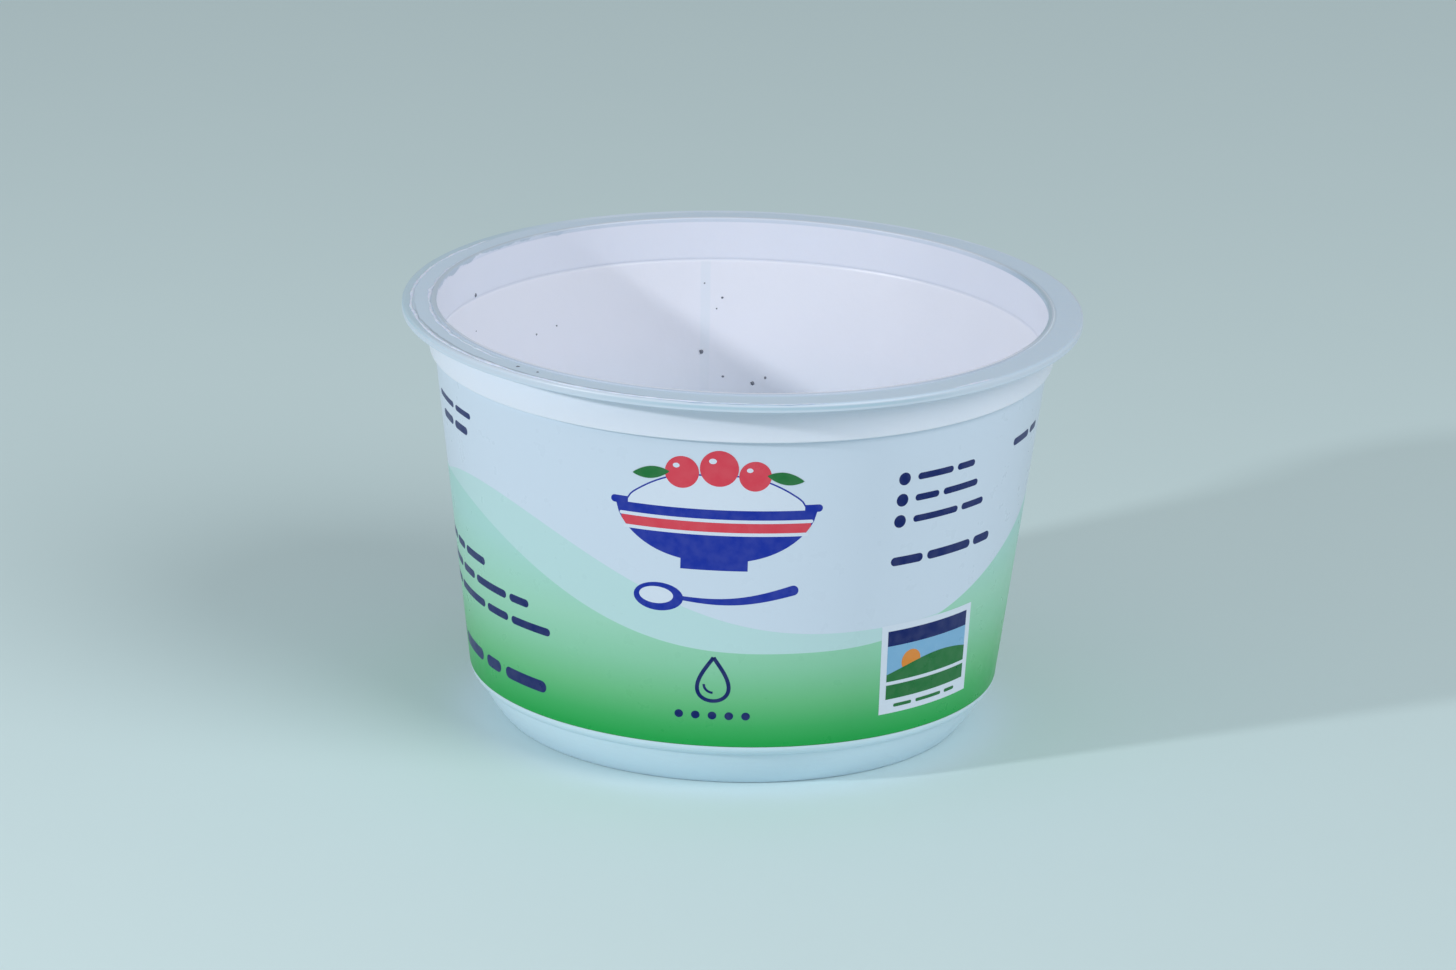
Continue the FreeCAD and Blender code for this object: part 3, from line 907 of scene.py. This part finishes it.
drop = stroke([drop_spot(2 * math.pi * step / 60) for step in range(61)], PEN)
drop_shine = stroke([shine_spot(math.pi / 2 * step / 12) for step in range(13)], SHINE_PEN)
dots = [disc(DROP_MIDDLE + DOT_SPACING * step, DOT_HEIGHT, DOT_WIDE, steps=12)
        for step in range(-2, 3)]


# %% Rows of dashes where small print would be
# Each row: its left end, its height, the widths of its dashes, how tall they are, and the gap
# between them where it isn't the usual one.
DASHES = (
    (26.2, 45.6, (6.4, 3.6), 1.0), (25.9, 42.45, (4.2, 7.0), 1.0), (25.7, 39.3, (8.2, 4.8), 1.0),
    (22.3, 33.3, (5.4, 8.6, 4.0), 1.3), (-61, 26.6, (6.4, 4.0, 6.8), 1.2),
    (-61, 23.3, (9.2, 5.0, 8.6, 4.2), 1.2), (-61, 20.0, (7.4, 10.2, 5.6, 8.0), 1.2),
    (-61, 11.4, (6.2, 9.4, 4.4, 9.0), 1.8, 1.3), (-58.5, 47.9, (7.4, 5.2), 0.9),
    (-56.6, 45.3, (5.0, 4.6), 1.2), (47.2, 45.8, (5.8, 3.6), 1.1),
)


def row_of(left, height, widths, tall, gap=0.8):
    """A row of level bars of these widths."""
    row = []
    for width in widths:
        row.append(bar(left, left + width, height, tall))
        left += width + gap
    return row


small_print = [disc(24.0 - 0.25 * row, 45.6 - 3.15 * row, 1.9, steps=16) for row in range(3)]
for dashes in DASHES:
    small_print += row_of(*dashes)
print(f"small print: {len(small_print)} dots and dashes")

# %% [markdown]
# ## The small panel
# A white-edged panel at the lower right: a sky with a sun over a hill, a plain dark strip over it,
# and a green strip under both.

# %% Panel fields
PANEL_LEFT, PANEL_RIGHT, PANEL_LOW, PANEL_HIGH = 21.4, 38.7, 10.2, 23.7
MARGIN, SKY_LOW, SKY_HIGH = 0.06, 0.36, 0.76
HILL_INSET, HILL_TOP, HILL_SWELL, HILL_START, HILL_SPREAD = 1.04, 6.4, 1.5, 24, 5.2
panel_wide, panel_tall = PANEL_RIGHT - PANEL_LEFT, PANEL_HIGH - PANEL_LOW


def field(left, right, low, high):
    """A plain rectangle inside the panel, placed as shares of its two sides."""
    return between(PANEL_LEFT + left * panel_wide, PANEL_LEFT + right * panel_wide,
                   lambda across: PANEL_LOW + low * panel_tall,
                   lambda across: PANEL_LOW + high * panel_tall, 16)


panel_back = field(0, 1, 0, 1)
panel_sky = field(MARGIN, 1 - MARGIN, SKY_LOW, SKY_HIGH)
panel_strip = field(MARGIN, 1 - MARGIN, SKY_HIGH, 0.93)
panel_green = field(MARGIN, 1 - MARGIN, 0.16, 0.32)
sun = disc(PANEL_LEFT + 5.2, PANEL_LOW + 7.5, 3.4)


def hill_high(across):
    """Upper edge of the hill, a slow swell."""
    swell = HILL_SWELL * math.sin((across - HILL_START) / HILL_SPREAD)
    return PANEL_LOW + HILL_TOP + swell


panel_hill = between(PANEL_LEFT + HILL_INSET, PANEL_RIGHT - HILL_INSET,
                     lambda across: PANEL_LOW + SKY_LOW * panel_tall, hill_high)
panel_rows = row_of(PANEL_LEFT + 2.4, PANEL_LOW + 1.1, (3.2, 5.0, 2.2), 0.5)

# %% Print every ink
blue_shapes = [bowl, bowl_foot, bowl_rim, curd_edge, spoon_bowl, spoon_handle, spoon_end]
print_ink("print_blue", "blue", blue_shapes, 1)
print_ink("print_white", "white", [panel_back, curd, spoon_hollow, *band_edges], 2)
print_ink("print_sky", "sky", [panel_sky], 3)
print_ink("print_orange", "orange", [sun], 4)
print_ink("print_leaf", "leaf", [panel_hill, panel_green, *leaves, *panel_rows], 5)
print_ink("print_red", "red", [*berries, red_band], 3)
print_ink("print_navy", "navy", [drop, drop_shine, *dots, *small_print], 1)
print_ink("print_strip", "navy", [panel_strip], 3)
print_ink("print_highlight", "white", shines, 4)

# %% [markdown]
# ## What opening has left
# The foil lid was sealed on the flange and then torn off. It leaves a thin white bead of lacquer
# along the outer edge of the seal, wavy and broken, and it shows best on the left and in front. A
# short piece of it is left on the right, and a third lies along the mouth bead on the left. A node
# tree lays such a bead along part of a circle: a grid is bent to a half-round ridge, and one noise
# moves it in and out while another makes it swell and fade. Its two lower edges are sunk a
# hundredth of a millimetre into the flange, so no gap shows under it.

# %% The tree for a torn bead
tear_tree = bpy.data.node_groups.new("Torn bead", "GeometryNodeTree")
given, result = tree_inputs(tear_tree, Steps="Int", Radius="Float", Level="Float", Shift="Vector",
                            Start="Float", End="Float", Width="Float", Height="Float",
                            Wander="Float", Seed="Float", Finish="Material")
ask = given.outputs
ACROSS = 7
TAPER = 0.3
lengths = math_node(tear_tree, "ADD", ask["Steps"], 1.0)
grid = add_node(tear_tree, "GeometryNodeMeshGrid", {"Vertices X": lengths, "Vertices Y": ACROSS})
number = add_node(tear_tree, "GeometryNodeInputIndex").outputs[0]
along = math_node(tear_tree, "FLOOR", math_node(tear_tree, "DIVIDE", number, ACROSS))
share = math_node(tear_tree, "DIVIDE", along, ask["Steps"])
arch = math_node(tear_tree, "MULTIPLY", math_node(tear_tree, "MODULO", number, ACROSS),
                 math.pi / (ACROSS - 1))
sweep = math_node(tear_tree, "SUBTRACT", ask["End"], ask["Start"])
turn = math_node(tear_tree, "ADD", math_node(tear_tree, "MULTIPLY", share, sweep), ask["Start"])


def uneven(scale, offset, low, high):
    """A value between low and high that changes at random along the bead."""
    spot = add_node(tear_tree, "ShaderNodeCombineXYZ",
                    {"X": turn, "Y": math_node(tear_tree, "ADD", ask["Seed"], offset)}).outputs[0]
    rough = add_node(tear_tree, "ShaderNodeTexNoise",
                     {"Vector": spot, "Scale": scale, "Detail": 3.0}).outputs["Fac"]
    return ramp(tear_tree, rough, 0.32, 0.68, low, high)


ends = math_node(tear_tree, "SINE", math_node(tear_tree, "MULTIPLY", share, math.pi))
ends = math_node(tear_tree, "POWER", ends, TAPER)
rough_size = uneven(scale=9, offset=0, low=0.35, high=1.3)
swell = math_node(tear_tree, "MULTIPLY", rough_size, ends)
half = math_node(tear_tree, "MULTIPLY", math_node(tear_tree, "MULTIPLY", ask["Width"], 0.5), swell)
wave = math_node(tear_tree, "MULTIPLY", uneven(scale=12, offset=7, low=-1, high=1), ask["Wander"])
offset = math_node(tear_tree, "MULTIPLY", math_node(tear_tree, "COSINE", arch), half)
reach = math_node(tear_tree, "ADD", math_node(tear_tree, "ADD", ask["Radius"], wave), offset)
ridge = math_node(tear_tree, "MULTIPLY", math_node(tear_tree, "SINE", arch), ask["Height"])
ridge = math_node(tear_tree, "MULTIPLY", ridge, swell)
side = math_node(tear_tree, "MULTIPLY", reach, math_node(tear_tree, "SINE", turn))
front = math_node(tear_tree, "MULTIPLY", reach, math_node(tear_tree, "COSINE", turn))
front = math_node(tear_tree, "MULTIPLY", front, -1.0)
raised = math_node(tear_tree, "ADD", ridge, ask["Level"])
where = add_node(tear_tree, "ShaderNodeCombineXYZ", {"X": side, "Y": front, "Z": raised})
laid = add_node(tear_tree, "GeometryNodeSetPosition",
                {"Geometry": grid.outputs["Mesh"], "Position": where.outputs[0],
                 "Offset": ask["Shift"]})
finish_tree(tear_tree, laid.outputs["Geometry"], ask["Finish"], result)

# %% Lacquer and its beads
SUNK = 0.01
BEAD_EDGE = MOUTH_RADIUS + BEAD_WIDTH
STEPS_PER_DEGREE = 4
LACQUER_DEPTH, LACQUER_GRAIN = 0.0005, 0.00004

lacquer, tree, shader, place = new_finish("seal lacquer")
lacquer_white = mottled(tree, place, 900, colour(222, 232, 250), colour(202, 216, 238))
tree.links.new(lacquer_white, shader.inputs["Base Color"])
shader.inputs["Roughness"].default_value = 0.42
shader.inputs["Subsurface Weight"].default_value = 0.1
shader.inputs["Subsurface Scale"].default_value = LACQUER_DEPTH
bumped(tree, shader, noise(tree, place, 2500, 3), LACQUER_GRAIN)


def lay_bead(name, radius, start, end, width, height, wander_by, seed):
    """Lay one bead of lacquer on the flange between two angles from the front, in degrees."""
    made = run_tree(name, tear_tree, bpy.data.meshes.new(name),
                    Steps=round((end - start) * STEPS_PER_DEGREE),
                    Radius=radius * MM, Level=(TOP - SUNK) * MM,
                    Shift=[value * MM for value in SEAL_SHIFT],
                    Start=math.radians(start), End=math.radians(end), Width=width * MM,
                    Height=height * MM, Wander=wander_by * MM, Seed=float(seed), Finish=lacquer)
    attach(made, "root")


lay_bead("seal_bead_outer", radius=SEAL_RADIUS - 0.1, start=-128, end=14,
         width=0.50, height=0.16, wander_by=0.16, seed=3)
lay_bead("seal_bead_right", radius=SEAL_RADIUS - 0.5, start=38, end=47,
         width=0.36, height=0.12, wander_by=0.10, seed=5)
lay_bead("seal_bead_inner", radius=BEAD_EDGE + 0.7, start=-128, end=-48,
         width=0.50, height=0.12, wander_by=0.25, seed=8)

# %% [markdown]
# ## Specks
# A few dark crumbs have dried on the inside and on the rim. Each is a small flattened ball, pushed
# about by noise, and all of them are joined in one mesh. They are listed one by one: an angle from
# the front, then a height on the inside or a radius on the rim, and a width.

# %% Specks of dirt
INSIDE_SPECKS = ((-116.4, 53.8, 0.52), (-134.5, 45.2, 0.30), (-139.9, 45.8, 0.26),
                 (-171.8, 39.9, 0.64), (-176.3, 36.3, 0.34), (-175.9, 47.8, 0.34),
                 (-172.3, 49.9, 0.26), (-174.8, 46.2, 0.24), (177.5, 35.4, 0.56),
                 (174.9, 36.3, 0.38), (-115.3, 48.8, 0.22))
RIM_SPECKS = ((-42.4, 44.8, 0.50), (-37.8, 44.8, 0.38))
LUMPS, LUMP_SCALE, FLATNESS = 0.45, 3.1, 0.45


def inner_face(height):
    """Inside radius at any height up to the rim."""
    if height < CREASE:
        return wall_inside(height)
    return CREASE_RADIUS + (height - CREASE) * slope(CREASE_LEAN)


def add_speck(mesh, spot, outward, width, seed):
    """Add one crumb to a bmesh, flat along its surface."""
    facing = outward.to_track_quat("Z", "Y").to_matrix().to_4x4()
    ball = bmesh.ops.create_icosphere(mesh, subdivisions=3, radius=0.5)
    for vertex in ball["verts"]:
        vertex.co *= 1 + LUMPS * wander(vertex.co * LUMP_SCALE + Vector((seed, 0, 0)))
        vertex.co.z *= FLATNESS
        vertex.co = spot + facing @ (vertex.co * width * MM)


crumbs = bmesh.new()
for seed, (turn, height, width) in enumerate(INSIDE_SPECKS):
    around = math.radians(turn)
    outward = Vector((math.sin(around), -math.cos(around), 0))
    add_speck(crumbs, outward * inner_face(height) * MM + Vector((0, 0, height * MM)),
              -outward, width, seed)
for seed, (turn, radius, width) in enumerate(RIM_SPECKS, len(INSIDE_SPECKS)):
    around = math.radians(turn)
    spot = Vector((math.sin(around) * radius, -math.cos(around) * radius, TOP)) * MM
    add_speck(crumbs, spot, Vector((0, 0, 1)), width, seed)
speck_mesh = bpy.data.meshes.new("specks")
crumbs.to_mesh(speck_mesh)
crumbs.free()
speck_mesh.shade_smooth()

# %% Paint the specks
crumb_finish, tree, shader, place = new_finish("dried crumbs")
crumb_grey = mottled(tree, place, 4000, colour(98, 104, 118), colour(138, 144, 156))
tree.links.new(crumb_grey, shader.inputs["Base Color"])
shader.inputs["Roughness"].default_value = 0.75
speck_mesh.materials.append(crumb_finish)
specks = bpy.data.objects.new("specks", speck_mesh)
bpy.context.scene.collection.objects.link(specks)
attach(specks, "root")
print(f"specks: {len(INSIDE_SPECKS) + len(RIM_SPECKS)} crumbs, {len(speck_mesh.polygons)} faces")

# %% [markdown]
# ## Camera
# A long lens from a little over a metre away, looking down at the cup by about nineteen degrees,
# and held with a slight tilt.

# %% Camera
CAMERA_DISTANCE, CAMERA_RISE, CAMERA_LENS = 1.13969, 19.386, 198.83
CAMERA_YAW, CAMERA_PITCH, CAMERA_ROLL = 0.068, 1.564, 1.635

camera = bpy.data.objects.new("camera", bpy.data.cameras.new("camera"))
camera.data.lens = CAMERA_LENS
camera.data.sensor_width = 36
rise = math.radians(CAMERA_RISE)
stand = Vector((0, -math.cos(rise), math.sin(rise))) * CAMERA_DISTANCE
aim = Matrix.Rotation(math.pi / 2 - rise, 4, "X")
for degrees, axis in ((CAMERA_YAW, "Y"), (CAMERA_PITCH, "X"), (CAMERA_ROLL, "Z")):
    aim = aim @ Matrix.Rotation(math.radians(degrees), 4, axis)
camera.matrix_world = Matrix.Translation(stand) @ aim
camera.data.clip_start = 0.01
bpy.context.scene.collection.objects.link(camera)
bpy.context.scene.camera = camera

# %% [markdown]
# ## Floor and light
# A pale floor, an even sky, and one small soft lamp low on the left, in front of the cup. The lamp
# throws the left rim's shadow across the inside and the cup's own shadow far to the right. A much
# larger lamp on the right fills the shaded side.

# %% Floor
FLOOR_PALE, FLOOR_DEEP = colour(206, 228, 232), colour(196, 220, 226)
FLOOR_REACH = 8
corners = [(FLOOR_REACH * x, FLOOR_REACH * y, 0) for x, y in ((-1, -1), (1, -1), (1, 1), (-1, 1))]
floor_mesh = bpy.data.meshes.new("floor")
floor_mesh.from_pydata(corners, [], [(0, 1, 2, 3)])
floor = bpy.data.objects.new("floor", floor_mesh)
bpy.context.scene.collection.objects.link(floor)
floor_finish, tree, shader, place = new_finish("floor paper")
floor_colour = mottled(tree, place, 40, FLOOR_PALE, FLOOR_DEEP, 6, (0.3, 0.7), most=0.06)
tree.links.new(floor_colour, shader.inputs["Base Color"])
shader.inputs["Roughness"].default_value = 0.8
floor_mesh.materials.append(floor_finish)
floor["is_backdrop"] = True

# %% Lamps and sky
SKY_LEVEL, SKY_TINT = 0.385, (0.97, 0.99, 1.0, 1.0)
AIM = Vector((0, 0, 0.03))


def soft_lamp(name, turn, rise, distance, width, power):
    """A round lamp at a turn from +X and a rise above the floor, aimed at the cup."""
    light = bpy.data.objects.new(name, bpy.data.lights.new(name, "AREA"))
    light.data.shape = "DISK"
    light.data.size = width
    light.data.energy = power
    around, up = math.radians(turn), math.radians(rise)
    light.location = Vector((math.cos(up) * math.cos(around), math.cos(up) * math.sin(around),
                             math.sin(up))) * distance
    light.rotation_euler = (AIM - light.location).to_track_quat("-Z", "Y").to_euler()
    bpy.context.scene.collection.objects.link(light)


soft_lamp("key_lamp", turn=212.8, rise=24.9, distance=0.758, width=0.05, power=2.3)
soft_lamp("fill_lamp", turn=-40, rise=38, distance=1.3, width=0.9, power=7.9)

sky = bpy.data.worlds.new("sky")
sky.use_nodes = True
background = sky.node_tree.nodes["Background"]
background.inputs["Color"].default_value = SKY_TINT
background.inputs["Strength"].default_value = SKY_LEVEL
bpy.context.scene.world = sky
bpy.context.scene.view_settings.view_transform = "Standard"

# %% [markdown]
# ## Sizes, and the end
# The box round the solids and the box round the finished pieces are put side by side, so that the
# two can be compared.

# %% Finish
bounds = {"cad": [list(corner) for corner in cad_bounds],
          "visual": [list(corner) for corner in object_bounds()]}
visual_box = [[round(value * 1000, 2) for value in corner] for corner in bounds["visual"]]
print("visual box in mm:", visual_box)
